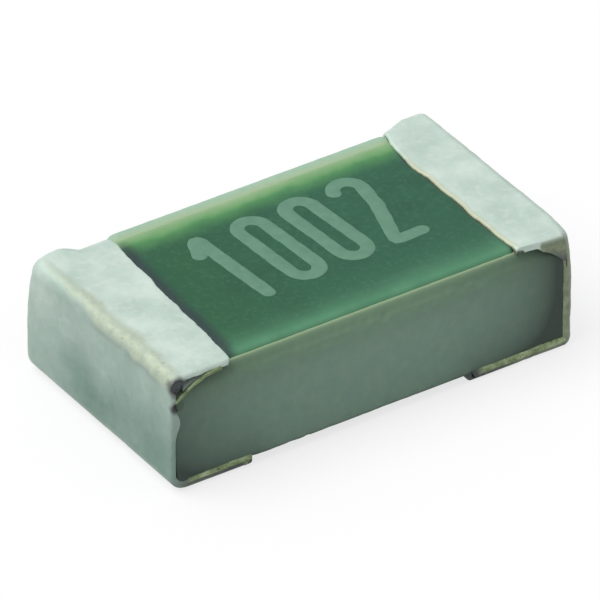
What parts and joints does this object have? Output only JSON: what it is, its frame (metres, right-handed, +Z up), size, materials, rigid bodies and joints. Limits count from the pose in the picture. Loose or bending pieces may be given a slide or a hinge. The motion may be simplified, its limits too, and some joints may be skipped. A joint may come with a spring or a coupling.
{
  "type": "chip resistor",
  "caption": "Rectangular surface-mount chip resistor: ceramic block with a green protective coat over its film, and plated wrap-around end caps with solder feet.",
  "frame": {"origin": "centre of the chip at the level of its feet", "axes": "+X along the chip from cap to cap, +Y across it towards the tops of the digits, +Z up out of the coat"},
  "size_m": [0.002, 0.0012, 0.0006],
  "materials": {
    "ceramic": "fired alumina, matt, snapped sides",
    "silver": "fired silver print, satin",
    "film": "fired resistive glaze, dark",
    "glass": "fired glass, clear green",
    "coat": "green protective lacquer, satin",
    "nickel": "plated nickel, satin",
    "tin": "matt plated tin",
    "ink": "printed ink, matt"
  },
  "bodies": {
    "root": {"ceramic_substrate": "ceramic", "bottom_contact_left": "silver", "bottom_contact_right": "silver", "top_contact_left": "silver", "top_contact_right": "silver", "resistive_film": "film", "glass_layer": "glass", "protective_coat": "coat", "end_contact_left": "silver", "end_contact_right": "silver", "nickel_layer_left": "nickel", "nickel_layer_right": "nickel", "tin_cap_left": "tin", "tin_cap_right": "tin"}
  },
  "joints": []
}
